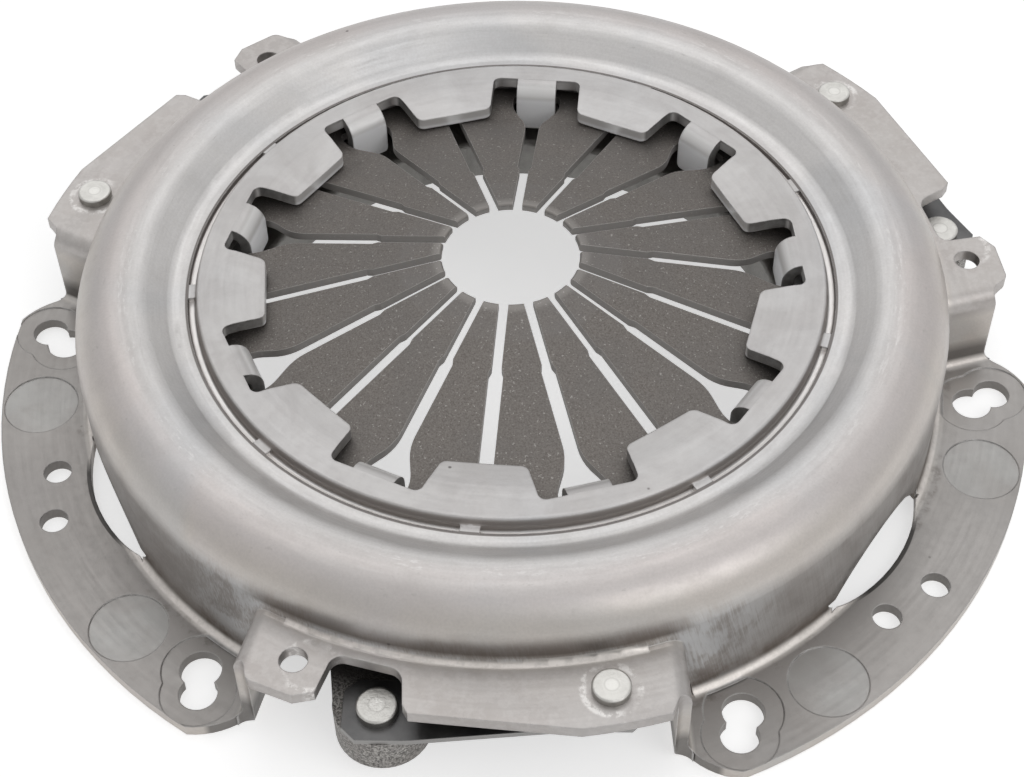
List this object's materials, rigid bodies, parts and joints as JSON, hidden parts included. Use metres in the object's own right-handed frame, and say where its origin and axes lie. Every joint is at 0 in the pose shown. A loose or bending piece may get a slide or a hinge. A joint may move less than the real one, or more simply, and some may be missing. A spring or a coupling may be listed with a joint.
{
  "type": "clutch pressure plate",
  "caption": "Diaphragm clutch cover with a fingered spring, raised ledges, leaf straps and a cast plate that lifts inside a bolted rim.",
  "frame": {"origin": "centre of the mounting plane, which is the underside of the flange sectors", "axes": "+Z away from the flywheel along the clutch axis, +Y through the middle of one flange sector"},
  "size_m": [0.2666, 0.2588, 0.0439],
  "materials": {
    "cover_steel": "satin pressed steel, lightly oiled",
    "spring_steel": "dark phosphated spring steel",
    "strap_steel": "blued spring steel",
    "rivet_steel": "zinc plated",
    "cast_iron": "rough casting, turned face"
  },
  "bodies": {
    "cover": {"cover": "cover_steel", "diaphragm_spring": "spring_steel", "fulcrum_ring": "spring_steel", "lower_strap_1": "strap_steel", "upper_strap_1": "strap_steel", "cover_rivet_1": "rivet_steel", "lower_strap_2": "strap_steel", "upper_strap_2": "strap_steel", "cover_rivet_2": "rivet_steel", "lower_strap_3": "strap_steel", "upper_strap_3": "strap_steel", "cover_rivet_3": "rivet_steel"},
    "pressure_plate": {"pressure_plate": "cast_iron", "plate_rivet_1": "rivet_steel", "plate_rivet_2": "rivet_steel", "plate_rivet_3": "rivet_steel"}
  },
  "joints": [
    {"name": "plate_lift", "type": "slide", "parent": "cover", "child": "pressure_plate", "axis": [0, 0, 1], "range_m": [0, 0.003], "deforming": ["diaphragm_spring", "lower_strap_1", "upper_strap_1", "lower_strap_2", "upper_strap_2", "lower_strap_3", "upper_strap_3"]}
  ]
}
